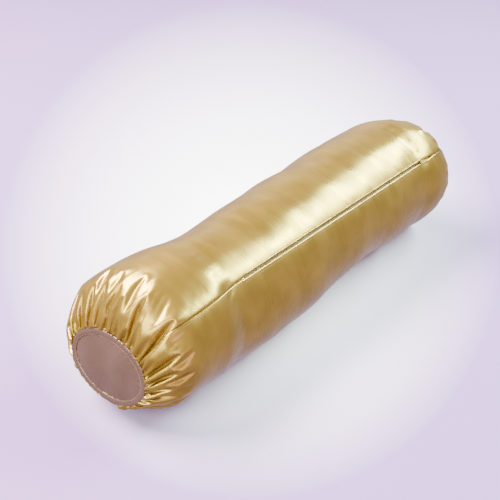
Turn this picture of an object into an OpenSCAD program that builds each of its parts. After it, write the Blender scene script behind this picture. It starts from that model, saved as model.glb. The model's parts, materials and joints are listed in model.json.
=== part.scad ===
// Bolster pillow: a stuffed round bolster in a removable satin cover, gathered at its ends,
// with a coil zip behind a raised lip in its long seam. Millimetres.
// Frame: +X along the bolster with its front end at -X, +Z up, origin on the ground under its middle.

/* [Body] */
// Diameter of the stuffed bolster
body_d = 190; // [160:1:240]
// Overall length, from end to end
body_l = 660; // [560:1:820]
// Width of the flat strip that it rests on
rest_w = 60; // [40:1:80]

/* [Ends] */
// Length of the gathered shoulder at the front end
front_shoulder = 82; // [60:1:100]
// How far the gathers draw the front end in from the body's radius
front_gather = 40; // [24:1:45]
// Length of the pleated shoulder at the rear end
rear_shoulder = 52; // [32:1:70]
// How far the pleats draw the rear end in from the body's radius
rear_gather = 30; // [16:1:45]
// Radial width of the rolled edge between the shoulder and the hem
roll_w = 9; // [6:1:12]
// How deep the hem sits behind the rolled edge
recess = 4; // [2:0.5:8]

/* [Cloth layers] */
// Thickness of the quilt-backed satin cover
cover_t = 1.2; // [0.6:0.1:2]
// Thickness of the cotton inner casing
casing_t = 0.8; // [0.4:0.1:1.5]
// Space between one layer of cloth and the next
layer_gap = 0.4; // [0.2:0.1:1]

/* [Hems] */
// Width of the elastic in the hem
elastic_w = 5; // [3:0.5:8]
// Thickness of the elastic
elastic_t = 0.9; // [0.6:0.1:1.5]
// Wall of the hem casing round its elastic channel
hem_wall = 0.8; // [0.5:0.1:1.2]
// Width of gathered cloth inside the elastic, up to the end panel
hem_edge = 1.4; // [1:0.1:3]
// Thickness of the sewing thread
thread_d = 0.7; // [0.4:0.1:1]

/* [Seam and lip] */
// Angle of the long seam from the top, towards -Y
seam_angle = 49; // [30:1:70]
// Length of plain seam between the front shoulder and the zip
plain_seam_l = 85; // [30:1:150]
// Length of plain seam between the zip and the rear shoulder
zip_end_l = 4; // [2:1:40]
// Width of the gap in the cover over the zip
slot_w = 5.4; // [4.5:0.1:7]
// Width of the raised lip beside the gap
lip_w = 6; // [4:0.5:8]
// Height of the lip above the cover
lip_h = 3; // [1:0.5:5]

/* [Zip] */
// Width of one zip tape, from its coil to its outer edge
tape_w = 11; // [9:0.5:14]
// Thickness of the zip tape
tape_t = 0.6; // [0.4:0.1:0.8]
// Width of one row of the coil
coil_w = 2; // [1.6:0.1:2.2]
// Height of the coil
coil_h = 1.8; // [1.4:0.1:2.2]
// Gap between the two rows, where the slider's wedge runs
coil_gap = 1.2; // [1:0.1:1.6]
// Length of a top stop and of the bottom stop
stop_l = 3; // [2:0.5:5]
// Gap that is left between the closed slider and the top stops
stop_gap = 0.5; // [0.2:0.1:1]

/* [Slider] */
// Length of the slider
slider_l = 13; // [10:0.5:16]
// Width of the slider
slider_w = 9.2; // [7.6:0.1:12]
// Thickness of the slider's top and bottom plates
plate_t = 1; // [0.8:0.1:1.2]
// Clearance between the slider and what it runs on or under
slide_clear = 0.3; // [0.2:0.05:0.35]
// Width of the lug that carries the pull
lug_w = 1.6; // [1.2:0.1:1.8]
// Outer radius of the lug's head
lug_r = 1.5; // [1.3:0.1:1.6]
// Outer radius of the pull's ears
ear_r = 1.2; // [1:0.1:1.3]

/* [Pull] */
// Length of the pull, from its pin to its tip
pull_l = 18; // [14:1:24]
// Clearance between the pull and each side of the gap in the cover
pull_clear = 0.6; // [0.3:0.05:0.8]
// Thickness of the pull
pull_t = 1.2; // [1:0.1:1.4]
// Radius of the pull's pin
pin_r = 0.6; // [0.5:0.05:0.7]
// Running clearance of the pin in the lug
pin_clear = 0.05; // [0.03:0.01:0.08]
// Sideways clearance between the lug and the pull's ears
ear_clear = 0.15; // [0.1:0.05:0.2]

/* [Hidden] */

$fn = 96;
round_fn = 128;                    // sides of a round as wide as the bolster
seam_fn = 720;                     // and of one that trims a narrow strip at the seam
arc_steps = 12;                    // straight steps in each quarter of an end's outline
over = 1;                          // how far a cutting tool runs past what it cuts
satin = "#d9bf86";
satin_shade = "#b89a63";
ticking = "#efe9dc";
metal = "#b9a06a";

body_r = body_d / 2;
half_l = body_l / 2;
axis_z = sqrt(body_r * body_r - rest_w * rest_w / 4);

front_rim_r = body_r - front_gather;
rear_rim_r = body_r - rear_gather;

channel_w = elastic_w + 2 * layer_gap;
hem_w = hem_wall + channel_w + hem_edge;
hem_t = elastic_t + 2 * hem_wall + layer_gap;
panel_u = recess + hem_t;          // depth of the end panels' outer faces behind the ends
core_u = panel_u + cover_t + layer_gap;
core_inset = cover_t + layer_gap;

// heights above the bolster's axis, along the seam's own radius
plate_clear = cover_t + 2 * slide_clear;
slider_h = coil_h + 2 * slide_clear + 2 * plate_t;
tape_z = body_r - plate_clear - slider_h / 2;
pin_z = body_r + slide_clear + pull_t / 2;
pull_w = slot_w - 2 * pull_clear;
coil_out = coil_gap / 2 + coil_w;
facing_in = slider_w / 2 + 2 * slide_clear;
tape_out = coil_out + tape_w;

// places along the bolster
zip_x1 = half_l - rear_shoulder - zip_end_l;
zip_x0 = front_shoulder + plain_seam_l - half_l;
slider_x = zip_x1 - stop_l - stop_gap - slider_l / 2;

// An end's outline as [depth behind the end, radius], from the hem's edge out to the full body.
// It is two quarter ellipses: the roll turns in to the rim and the shoulder runs out to the body.
function end_outline(rim, shoulder, k) =
    let (apex = rim + roll_w)
    concat(
        [for (i = [0 : arc_steps])
            let (a = 90 * i / arc_steps)
            [recess - (recess - k) * sin(a), apex - (roll_w - k) * cos(a)]],
        [for (i = [1 : arc_steps])
            let (a = 90 * i / arc_steps)
            [shoulder - (shoulder - k) * cos(a), apex + (body_r - k - apex) * sin(a)]]);

// The stuffed core's end outline: one quarter ellipse from its flat panel out to the tube.
function core_outline(rim, shoulder, k) =
    [for (i = [0 : arc_steps])
        let (a = 90 * i / arc_steps)
        [shoulder - (shoulder - core_u - k) * cos(a),
            rim + (body_r - core_inset - k - rim) * sin(a)]];

function reversed(list) = [for (i = [len(list) - 1 : -1 : 0]) list[i]];

// Both ends' outlines joined, as [radius, place along X] points for a turned section
function cover_section(k) = concat(
    [for (p = end_outline(front_rim_r, front_shoulder, k)) [p[1], p[0] - half_l]],
    [for (p = reversed(end_outline(rear_rim_r, rear_shoulder, k))) [p[1], half_l - p[0]]]);
function core_section(k) = concat(
    [for (p = core_outline(front_rim_r, front_shoulder, k)) [p[1], p[0] - half_l]],
    [for (p = reversed(core_outline(rear_rim_r, rear_shoulder, k))) [p[1], half_l - p[0]]]);

// Turns a section of [radius, place along X] points about the bolster's axis.
module turned(points) {
    translate([0, 0, axis_z])
        rotate([0, 90, 0])
            rotate_extrude($fn = round_fn)
                polygon(points);
}

// A turned section closed to the axis at both ends
module turned_solid(points) {
    last = len(points) - 1;
    turned(concat([[0, points[0][1]]], points, [[0, points[last][1]]]));
}

// Everything above height z, up to far past the bolster's top, or up to a height of its own
module above(z, top = body_d) {
    translate([-half_l - over, -body_r - over, z])
        cube([body_l + 2 * over, body_d + 2 * over, top - z]);
}

// A flat-ended round piece with its axis along the bolster's, from place x0 to place x1
module round_bar(x0, x1, r) {
    translate([x0, 0, axis_z])
        rotate([0, 90, 0])
            cylinder(h = x1 - x0, r = r, $fn = round_fn);
}

// Puts children at the seam: +X stays along the bolster, +Z becomes the seam's own radius.
module at_seam() {
    translate([0, 0, axis_z])
        rotate([seam_angle, 0, 0])
            children();
}

// Sweeps a section drawn in the seam's own cross plane from place x0 to place x1.
module along_seam(x0, x1) {
    at_seam()
        translate([x0, 0, 0])
            rotate([90, 0, 90])
                linear_extrude(height = x1 - x0)
                    children();
}

// A rectangle in the seam's cross plane; side +1 is below the seam and -1 above it.
module seam_box(side, y0, y1, z0, z1) {
    corner = side > 0 ? [-y1, z0] : [y0, z0];
    translate(corner)
        square([y1 - y0, z1 - z0]);
}

// Room under the cover for the tapes and the slider, grown by k
module zip_channel(k) {
    tape_floor = tape_z - tape_t / 2 - layer_gap - k;
    slider_floor = tape_z - slider_h / 2 - layer_gap - k;
    half_tapes = tape_out + layer_gap + k;
    half_slider = slider_w / 2 + 2 * slide_clear + k;
    along_seam(zip_x0 - layer_gap - k, zip_x1 + layer_gap + k) {
        translate([-half_tapes, tape_floor])
            square([2 * half_tapes, body_r - tape_floor + over]);
        translate([-half_slider, slider_floor])
            square([2 * half_slider, body_r - slider_floor + over]);
    }
}

module cover_tube() {
    color(satin)
        difference() {
            union() {
                intersection() {
                    turned(concat(cover_section(0), reversed(cover_section(cover_t))));
                    above(0);
                }
                intersection() {
                    turned_solid(cover_section(0));
                    above(0, cover_t);
                }
            }
            along_seam(zip_x0, zip_x1)
                translate([-slot_w / 2, body_r - 2 * cover_t])
                    square([slot_w, 2 * cover_t + over]);
        }
}

// One end's disc of cover satin, sewn behind the hem
module cover_panel(rim, x) {
    color(satin_shade)
        round_bar(x, x + cover_t, rim + cover_t);
}

module front_end_panel() {
    cover_panel(front_rim_r, panel_u - half_l);
}

module rear_end_panel() {
    cover_panel(rear_rim_r, half_l - panel_u - cover_t);
}

// One end's hem casing: a flat ring, hollow for its elastic, with a rounded inner edge.
// Section is [radius, depth behind the hem's face].
module hem_section(rim) {
    difference() {
        union() {
            translate([rim - hem_w + hem_t / 2, 0])
                square([hem_w - hem_t / 2 + cover_t, hem_t]);
            translate([rim - hem_w + hem_t / 2, hem_t / 2])
                circle(d = hem_t);
        }
        translate([rim - hem_wall - channel_w, hem_wall])
            square([channel_w, hem_t - 2 * hem_wall]);
    }
}

// The elastic lies on the back wall of its channel.
module elastic_section(rim) {
    translate([rim - hem_wall - layer_gap - elastic_w, hem_t - hem_wall - elastic_t])
        square([elastic_w, elastic_t]);
}

// The thread lies on the hem's face, just outside its rounded inner edge.
module hem_thread_section(rim) {
    translate([rim - hem_w + hem_t / 2 + thread_d, -thread_d / 2])
        circle(d = thread_d, $fn = 24);
}

// Turns one end's ring section about the axis; the rear end's is the front end's mirrored.
module front_ring() {
    translate([recess - half_l, 0, axis_z])
        rotate([0, 90, 0])
            rotate_extrude($fn = round_fn)
                children();
}

module rear_ring() {
    translate([half_l - recess, 0, axis_z])
        rotate([0, -90, 0])
            rotate_extrude($fn = round_fn)
                children();
}

module front_hem_casing() {
    color(satin_shade) front_ring() hem_section(front_rim_r);
}

module rear_hem_casing() {
    color(satin_shade) rear_ring() hem_section(rear_rim_r);
}

module front_elastic() {
    color("white") front_ring() elastic_section(front_rim_r);
}

module rear_elastic() {
    color("white") rear_ring() elastic_section(rear_rim_r);
}

module front_hem_stitching() {
    color(satin) front_ring() hem_thread_section(front_rim_r);
}

module rear_hem_stitching() {
    color(satin) rear_ring() hem_thread_section(rear_rim_r);
}

// The raised lip: a padded fold on the cover, along the upper edge of the gap over the zip
module seam_lip() {
    lip_round = (lip_w * lip_w / 4 + lip_h * lip_h) / (2 * lip_h);
    color(satin)
        along_seam(zip_x0, zip_x1)
            difference() {
                intersection() {
                    translate([slot_w / 2 + lip_w / 2, body_r + lip_h - lip_round])
                        circle(r = lip_round, $fn = seam_fn);
                    translate([slot_w / 2, body_r - lip_h])
                        square([lip_w, 3 * lip_h]);
                }
                circle(r = body_r, $fn = seam_fn);
            }
}

// Turned-in edge of the cover: it fills from the tape up to the cover's inner face.
module zip_facing(side) {
    color(satin_shade)
        along_seam(zip_x0, zip_x1)
            intersection() {
                seam_box(side, facing_in, tape_out, tape_z + tape_t / 2, body_r);
                circle(r = body_r - cover_t, $fn = seam_fn);
            }
}

module upper_zip_facing() {
    zip_facing(-1);
}

module lower_zip_facing() {
    zip_facing(1);
}

// Two rows of thread that hold the cover, the facings and the tapes together
module zip_stitching() {
    upper_y = slot_w / 2 + lip_w + thread_d;
    lower_y = facing_in + thread_d;
    color(satin)
        for (y = [upper_y, -lower_y])
            along_seam(zip_x0, zip_x1)
                translate([y, sqrt(pow(body_r + thread_d / 2, 2) - y * y)])
                    circle(d = thread_d, $fn = 24);
}

// Thread of the long seam, from the front shoulder to short of where the pull can reach
module long_seam_stitching() {
    color(satin)
        along_seam(front_shoulder - half_l, zip_x0 - pull_l)
            translate([0, body_r + thread_d / 2])
                circle(d = thread_d, $fn = 24);
}

module zip_tape(side) {
    color(satin_shade)
        along_seam(zip_x0, zip_x1)
            seam_box(side, coil_out, tape_out, tape_z - tape_t / 2, tape_z + tape_t / 2);
}

module upper_zip_tape() {
    zip_tape(-1);
}

module lower_zip_tape() {
    zip_tape(1);
}

module zip_coil(side) {
    color(satin_shade)
        along_seam(zip_x0 + stop_l, zip_x1 - stop_l)
            seam_box(side, coil_gap / 2, coil_out, tape_z - coil_h / 2, tape_z + coil_h / 2);
}

module upper_zip_coil() {
    zip_coil(-1);
}

module lower_zip_coil() {
    zip_coil(1);
}

// One stop on each row at the closed end
module zip_top_stops() {
    color(metal)
        for (side = [-1, 1])
            along_seam(zip_x1 - stop_l, zip_x1)
                seam_box(side, coil_gap / 2, coil_out, tape_z - coil_h / 2, tape_z + coil_h / 2);
}

// One stop across both rows at the open end
module zip_bottom_stop() {
    color(metal)
        along_seam(zip_x0, zip_x0 + stop_l)
            translate([-coil_out, tape_z - coil_h / 2])
                square([2 * coil_out, coil_h]);
}

// The slider: two plates round the coils, side walls that leave a slit for the tapes,
// a wedge between the rows and a bored lug on top for the pull's pin
module zip_slider() {
    plate_z = coil_h / 2 + slide_clear;
    slit_h = tape_t + 2 * slide_clear;
    wall_in = coil_out + slide_clear;
    wall_w = slider_w / 2 - wall_in;
    wedge_w = coil_gap - 2 * slide_clear;
    wedge_l = slider_l / 3;
    wall_h = plate_z - slit_h / 2;
    x0 = slider_x - slider_l / 2;
    lug_z = tape_z + plate_z;
    color(metal) {
        difference() {
            union() {
                along_seam(x0, x0 + slider_l)
                    for (up = [0, 1])
                        mirror([0, 1 - up])
                            translate([0, (2 * up - 1) * tape_z]) {
                                translate([-slider_w / 2, plate_z])
                                    square([slider_w, plate_t]);
                                for (side = [-1, 1])
                                    seam_box(side, wall_in, wall_in + wall_w,
                                        slit_h / 2, slit_h / 2 + wall_h + plate_t / 2);
                            }
                along_seam(x0 + slider_l - wedge_l, x0 + slider_l)
                    translate([-wedge_w / 2, tape_z - plate_z - plate_t / 2])
                        square([wedge_w, 2 * plate_z + plate_t]);
                at_seam()
                    translate([slider_x - lug_r, -lug_w / 2, lug_z])
                        cube([2 * lug_r, lug_w, pin_z - lug_z]);
                at_seam()
                    translate([slider_x, lug_w / 2, pin_z])
                        rotate([90, 0, 0])
                            cylinder(h = lug_w, r = lug_r);
            }
            at_seam()
                translate([slider_x, lug_w / 2 + over, pin_z])
                    rotate([90, 0, 0])
                        cylinder(h = lug_w + 2 * over, r = pin_r + pin_clear);
        }
    }
}

// The pull: a tab that forks into two ears astride the lug, at rest pointing to the front end
module zip_pull() {
    ear_in = lug_w / 2 + ear_clear;
    fork_l = lug_r + 2 * ear_clear;
    color(metal)
        at_seam()
            translate([slider_x, 0, pin_z])
                difference() {
                    union() {
                        translate([-pull_l + pull_w / 2, -pull_w / 2, -pull_t / 2])
                            cube([pull_l - pull_w / 2, pull_w, pull_t]);
                        translate([-pull_l + pull_w / 2, 0, -pull_t / 2])
                            cylinder(h = pull_t, d = pull_w);
                        rotate([90, 0, 0])
                            translate([0, 0, -pull_w / 2])
                                cylinder(h = pull_w, r = ear_r);
                    }
                    translate([-fork_l, -ear_in, -lug_r])
                        cube([fork_l + lug_r + over, 2 * ear_in, 2 * lug_r]);
                    rotate([90, 0, 0])
                        translate([0, 0, -pull_w / 2 - over])
                            cylinder(h = pull_w + 2 * over, r = pin_r);
                    translate([-pull_l + pull_w / 2, 0, -pull_t])
                        cylinder(h = 2 * pull_t, d = pull_w / 3);
                }
}

module zip_pull_pin() {
    color(metal)
        at_seam()
            translate([slider_x, pull_w / 2, pin_z])
                rotate([90, 0, 0])
                    cylinder(h = pull_w, r = pin_r);
}

// The stuffed core's outer shape, inset by k, with the zip's channel let into it
module core_solid(k) {
    difference() {
        intersection() {
            turned_solid(core_section(k));
            above(core_inset + k);
        }
        zip_channel(k);
    }
}

module inner_casing_tube() {
    reach = core_u - over;
    depth = casing_t + 2 * over;
    color(ticking)
        difference() {
            core_solid(0);
            core_solid(casing_t);
            round_bar(reach - half_l, reach + depth - half_l, front_rim_r);
            round_bar(half_l - reach - depth, half_l - reach, rear_rim_r);
        }
}

module inner_front_panel() {
    color(ticking)
        round_bar(core_u - half_l, core_u + casing_t - half_l, front_rim_r);
}

module inner_rear_panel() {
    color(ticking)
        round_bar(half_l - core_u - casing_t, half_l - core_u, rear_rim_r);
}

module fibre_filling() {
    color("white") core_solid(casing_t + layer_gap / 2);
}

cover_tube();
front_end_panel();
rear_end_panel();
front_hem_casing();
rear_hem_casing();
front_elastic();
rear_elastic();
front_hem_stitching();
rear_hem_stitching();
seam_lip();
upper_zip_facing();
lower_zip_facing();
zip_stitching();
long_seam_stitching();
upper_zip_tape();
lower_zip_tape();
upper_zip_coil();
lower_zip_coil();
zip_top_stops();
zip_bottom_stop();
zip_slider();
zip_pull();
zip_pull_pin();
inner_casing_tube();
inner_front_panel();
inner_rear_panel();
fibre_filling();
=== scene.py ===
"""Bolster pillow in gold satin: gathered ends, a zip behind a raised lip, and a stuffed inner casing.

Everything is in metres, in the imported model's own frame: +X along the bolster, its front end
at -X, and +Z up. An angle round the bolster is measured from its top towards -Y.
"""
import json
import math

import bmesh
import bpy
import numpy as np
from mathutils import Matrix, Vector


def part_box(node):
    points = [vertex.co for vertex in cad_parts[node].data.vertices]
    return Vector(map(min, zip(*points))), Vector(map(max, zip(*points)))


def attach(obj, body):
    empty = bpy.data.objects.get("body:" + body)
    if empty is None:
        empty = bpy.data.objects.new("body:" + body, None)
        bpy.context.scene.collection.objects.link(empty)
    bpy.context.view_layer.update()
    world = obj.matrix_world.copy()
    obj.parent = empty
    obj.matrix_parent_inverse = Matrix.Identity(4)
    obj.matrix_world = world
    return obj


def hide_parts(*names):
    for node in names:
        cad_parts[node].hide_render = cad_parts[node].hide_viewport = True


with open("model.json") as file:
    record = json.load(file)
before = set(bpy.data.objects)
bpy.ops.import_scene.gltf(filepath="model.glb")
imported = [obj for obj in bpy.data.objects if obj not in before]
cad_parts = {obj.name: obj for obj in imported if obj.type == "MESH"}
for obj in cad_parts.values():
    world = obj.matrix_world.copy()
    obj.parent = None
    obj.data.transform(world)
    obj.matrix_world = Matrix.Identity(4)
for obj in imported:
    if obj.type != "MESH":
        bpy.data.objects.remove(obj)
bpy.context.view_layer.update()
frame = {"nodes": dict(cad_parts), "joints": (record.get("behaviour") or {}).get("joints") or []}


# ---- Camera -------------------------------------------------------------------------------
# A short telephoto lens, looking down along the bolster from beyond its front end, so that
# the end panel and the whole length show together.
tube_low, tube_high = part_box("cover_tube")
BODY_R = (tube_high.y - tube_low.y) / 2
AXIS_Z = tube_high.z - BODY_R       # the height of the bolster's axis above the floor
VIEW_AZIMUTH = math.radians(-49.8)
VIEW_ELEVATION = math.radians(32.7)
VIEW_ROLL = math.radians(0.5)
VIEW_DISTANCE = 1.267
VIEW_TARGET = Vector((-0.035, 0.0265, AXIS_Z))
LENS_MM, SENSOR_MM = 64.6, 36

back = Vector((math.sin(VIEW_AZIMUTH) * math.cos(VIEW_ELEVATION),
               -math.cos(VIEW_AZIMUTH) * math.cos(VIEW_ELEVATION),
               math.sin(VIEW_ELEVATION)))
right = (-back).cross(Vector((0, 0, 1))).normalized()
up = right.cross(-back)
rolled_right = math.cos(VIEW_ROLL) * right + math.sin(VIEW_ROLL) * up
rolled_up = math.cos(VIEW_ROLL) * up - math.sin(VIEW_ROLL) * right
lens = bpy.data.cameras.new("camera")
lens.lens = LENS_MM
lens.sensor_width = SENSOR_MM
camera = bpy.data.objects.new("camera", lens)
camera.matrix_world = (Matrix.Translation(VIEW_TARGET + VIEW_DISTANCE * back)
                       @ Matrix((rolled_right, rolled_up, back)).transposed().to_4x4())
bpy.context.scene.collection.objects.link(camera)
bpy.context.scene.camera = camera


# ---- Floor and light ----------------------------------------------------------------------
# Pale lilac studio paper with a painted pool of light under the bolster, where its colour turns
# pale. A narrow strip light beyond the rear end draws the long highlight, a large softbox behind
# the front end lights the floor and the top, and three weak ones and an even lilac surround fill
# the shade.
# the pale colour is a painted pool of light; the lilac is the paper's own
LIGHT_POOL_COLOUR = "#FBF9FD"
FLOOR_EDGE = "#8C6FA4"
POOL_MIDDLE = (-0.043, 0.131)    # metres to the camera's right, and away from it
POOL_NARROWS = 1.589             # the pool narrows to nothing this far on the camera's side
POOL_HALF = (0.233, 0.431)       # its half width and half length there, per metre from that point
POOL_FADE = (0.24, 1.0)          # where the painted pool of light starts to fade to the paper's lilac, and where it is gone
FLOOR_HALF = 8.0
SURROUND, SURROUND_STRENGTH = "#E0C8EC", 1.15


def linear(code):
    """An sRGB hex colour as linear red, green, blue and alpha 1, by the sRGB curve."""
    parts = [int(code[i:i + 2], 16) / 255 for i in (1, 3, 5)]
    return [c / 12.92 if c <= 0.04045 else ((c + 0.055) / 1.055) ** 2.4 for c in parts] + [1.0]


def add_node(material, kind, settings=None, **inputs):
    """Adds a shader node. settings are its properties, and a colour ramp's stops as pairs of a
    place and a hex colour; each input is a value or another node's output, under the input's
    name with spaces as underscores, or in0, in1 ... by position."""
    tree = material.node_tree
    node = tree.nodes.new("ShaderNode" + kind)
    for key, value in (settings or {}).items():
        if key == "stops":
            for element, (place, colour) in zip(node.color_ramp.elements, value):
                element.position, element.color = place, linear(colour)
        else:
            setattr(node, key, value)
    for key, value in inputs.items():
        by_place = key.startswith("in") and key[2:].isdigit()
        socket = node.inputs[int(key[2:]) if by_place else key.replace("_", " ")]
        if isinstance(value, bpy.types.NodeSocket):
            tree.links.new(value, socket)
        else:
            socket.default_value = value
    return node


def new_material(name):
    """A material with no nodes yet."""
    material = bpy.data.materials.new(name)
    material.use_nodes = True
    material.node_tree.nodes.clear()
    return material


def painted_floor():
    """Matt lilac studio paper: no gloss. A pool of light under the bolster is painted into its
    colour, pale inside the pool and lilac outside it. The pool is an ellipse whose width grows
    evenly with the distance from the point where it narrows to nothing."""
    m = new_material("studio_paper")
    place = add_node(m, "TexCoord").outputs["Object"]
    turned = add_node(m, "Mapping", {"vector_type": "TEXTURE"}, in0=place,
                      Rotation=(0, 0, VIEW_AZIMUTH))
    split = add_node(m, "SeparateXYZ", in0=turned.outputs[0])
    reach = add_node(m, "Math", {"operation": "ADD"}, in0=split.outputs[1], in1=POOL_NARROWS)
    parts = []
    for axis in (0, 1):
        off = add_node(m, "Math", {"operation": "SUBTRACT"}, in0=split.outputs[axis],
                       in1=POOL_MIDDLE[axis])
        part = add_node(m, "Math", {"operation": "DIVIDE"}, in0=off.outputs[0], in1=reach.outputs[0])
        parts.append(add_node(m, "Math", {"operation": "DIVIDE"}, in0=part.outputs[0],
                              in1=POOL_HALF[axis]).outputs[0])
    far = add_node(m, "VectorMath", {"operation": "LENGTH"},
                   in0=add_node(m, "CombineXYZ", in0=parts[0], in1=parts[1]).outputs[0])
    # painted pool of light: pale inside the ellipse, the paper's lilac outside it
    tint = add_node(m, "ValToRGB", {"stops": zip(POOL_FADE, (LIGHT_POOL_COLOUR, FLOOR_EDGE))},
                    Fac=far.outputs["Value"])
    shader = add_node(m, "BsdfPrincipled", Base_Color=tint.outputs[0], Roughness=0.9,
                      Specular_IOR_Level=0.1)
    add_node(m, "OutputMaterial", Surface=shader.outputs[0])
    return m


floor_mesh = bpy.data.meshes.new("floor")
floor_mesh.from_pydata([(-FLOOR_HALF, -FLOOR_HALF, 0), (FLOOR_HALF, -FLOOR_HALF, 0),
                        (FLOOR_HALF, FLOOR_HALF, 0), (-FLOOR_HALF, FLOOR_HALF, 0)], [], [(0, 1, 2, 3)])
floor = bpy.data.objects.new("floor", floor_mesh)
floor.data.materials.append(painted_floor())
bpy.context.scene.collection.objects.link(floor)
floor.visible_glossy = False        # the satin mirrors the even surround, not the paper


def softbox(name, place, long_way, size, watts, colour):
    """A rectangular area light at a place, facing the bolster, its long side along long_way and
    its size as length and width."""
    data = bpy.data.lights.new(name, "AREA")
    data.shape = "RECTANGLE"
    data.size, data.size_y = size
    data.energy = watts
    data.color = linear(colour)[:3]
    lamp = bpy.data.objects.new(name, data)
    out = (Vector(place) - Vector((0, 0, AXIS_Z))).normalized()
    across = out.cross(Vector(long_way)).normalized()
    turn = Matrix((across.cross(out), across, out)).transposed().to_4x4()
    lamp.matrix_world = Matrix.Translation(Vector(place)) @ turn
    bpy.context.scene.collection.objects.link(lamp)


softbox("key_softbox", (1.33, -0.66, 1.36), (0.58, 0.80, 0.10), (1.5, 0.28), 160, "#E2FFF6")
softbox("back_softbox", (-0.75, 1.35, 2.1), (1, 0.4, 0), (2.0, 0.9), 540, "#FFF4F0")
softbox("front_softbox", (-1.65, -0.3, 1.25), (0, 1, 0), (1.1, 0.7), 52, "#F6FFF8")
softbox("side_softbox", (1.5, 1.5, 0.75), (1, -1, 0), (2.4, 1.0), 6, "#FFF3DC")
softbox("lilac_softbox", (-0.9, -1.8, 0.55), (1, -0.5, 0), (2.0, 0.8), 28, "#D9B4E8")
world = bpy.data.worlds.new("surround")
world.use_nodes = True
world.node_tree.nodes["Background"].inputs["Color"].default_value = linear(SURROUND)
world.node_tree.nodes["Background"].inputs["Strength"].default_value = SURROUND_STRENGTH
bpy.context.scene.world = world


# ---- Satin cover --------------------------------------------------------------------------
# Polyester satin, cut as one panel, rolled into a tube and gathered at both ends. Each end is
# simulated: the straight tube is blown up by the filling's pressure while its edge is drawn
# in to the hem. Between the ends the stuffing fills the tube tight, with a slight waist.
MM = 0.001
FRONT_X, REAR_X = tube_low.x, tube_high.x
ZIP_X0, ZIP_X1 = (corner.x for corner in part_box("upper_zip_tape"))
hinge = next(joint for joint in frame["joints"] if joint["type"] == "hinge")
SEAM = math.atan2(hinge["axis"][2], hinge["axis"][1])    # the pull's pin lies across the seam
FRONT_JOIN = FRONT_X + 155 * MM     # where each simulated end meets the plain tube
REAR_JOIN = REAR_X - 92 * MM
FRONT_REACH = 176 * MM              # cloth from the hem to there
REAR_REACH = 107 * MM
FRONT_ROWS, MIDDLE_ROWS, REAR_ROWS = 90, 68, 52
COLUMNS = 320
COLUMN_ANGLES = SEAM + np.arange(COLUMNS)[None, :] * 2 * np.pi / COLUMNS
CLOTH_BUMPS = 1.5 * MM              # unevenness of the flat cloth, from which the folds start
PINNED_ROWS = 3                     # rows of cloth held where each end meets the tube
BLEND_ZONE = 45 * MM                # each end turns into the plain tube over this length
HELD_ROWS = 16                      # the slump fades out this near each hem
HEM_X = 2 * MM                      # the front hem sags into a wide oval, tilted back at its top
FRONT_HEM_Y, FRONT_HEM_Z = 64 * MM, 43 * MM
FRONT_HEM_DROP = 13 * MM
FRONT_HEM_LEAN = 0.22
REAR_HEM_R = 70 * MM
REAR_HEM_X = -2 * MM
HEM_RIBS = 38                       # zigzags of the cloth along each hem's elastic
RIB_DRIFT = 3.0                     # how far, in radians, they wander from even spacing
RIB_DEPTH = 1.3 * MM
RIB_OUT, RIB_ALONG = 0.3, 0.9       # the shares of it that stand out from the hem and along
SIM_SCALE = 10                      # the simulation is steadier on a cloth ten times as large
SIM_FRAMES, SIM_DRAWN = 45, 28      # the hem is fully drawn in by the second
CLOTH_SETTINGS = {"quality": 5, "mass": 0.01, "air_damping": 4, "tension_stiffness": 50,
                  "compression_stiffness": 50, "shear_stiffness": 1, "bending_stiffness": 5.0,
                  "tension_damping": 10, "compression_damping": 10, "shear_damping": 5,
                  "bending_damping": 1, "use_pressure": True, "uniform_pressure_force": 3.0}
SLOT_HALF = 0.8 * MM                # only the slider's lug passes between the edges
SLOT_TAPER = 4 * MM                 # they close over this length beyond the zip
CLOSED_HALF = 0.2 * MM              # half the gap where the seam is sewn shut
EDGE_TURN = np.array([0.7, 0.6, 0.5, 0.3, 0.05]) * MM    # how deep the seam's edge columns lie
EDGE_COPIES = 3                     # of those columns, how many are copies of the very edge
LOWER_TURN = EDGE_TURN * [1, 1, 0.6, 0, 0]    # the lower edge is crisp, the upper one rolled
COVER_THICK = 1.0 * MM
LUMP_HEIGHT, RIPPLE_HEIGHT = 0.6 * MM, 0.25 * MM
COVER_SUNK = 0.4 * MM               # away from the zip the cover lies this much further in
FLOOR_SOFT = 1.6 * MM               # how softly the cloth flattens where it rests on the floor
FAR_SIDE, NEAR_SIDE = -0.785, 2.36  # the angles at which the slumps are deepest


def smooth(low, high, x):
    """0 below low and 1 above high, with a smooth cubic step between them."""
    t = np.clip((x - low) / (high - low), 0, 1)
    return t * t * (3 - 2 * t)


def ripple(x, angle, count, wave_x, waves_round, seed):
    """Soft random relief of about unit height: a sum of sines that run along the bolster with
    wavelengths near wave_x and close on themselves a whole number of times round it."""
    draw = np.random.default_rng(seed)
    total = np.zeros(np.broadcast(x, angle).shape)
    for _ in range(count):
        pitch = wave_x * draw.uniform(0.6, 1.8)
        turns = draw.integers(0, waves_round + 1) * draw.choice([-1, 1])
        total = total + np.sin(2 * np.pi * x / pitch + turns * angle + draw.uniform(0, 2 * np.pi))
    return total / math.sqrt(count / 2)


def seam_distance(angle):
    """Distance round the bolster from the seam, always positive."""
    return np.abs((angle - SEAM + np.pi) % (2 * np.pi) - np.pi) * BODY_R


def bell(x, place, reach):
    """1 at a place along the bolster, fading out on both sides as a Gaussian of that reach."""
    return np.exp(-((x - place) / reach) ** 2)


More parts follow.
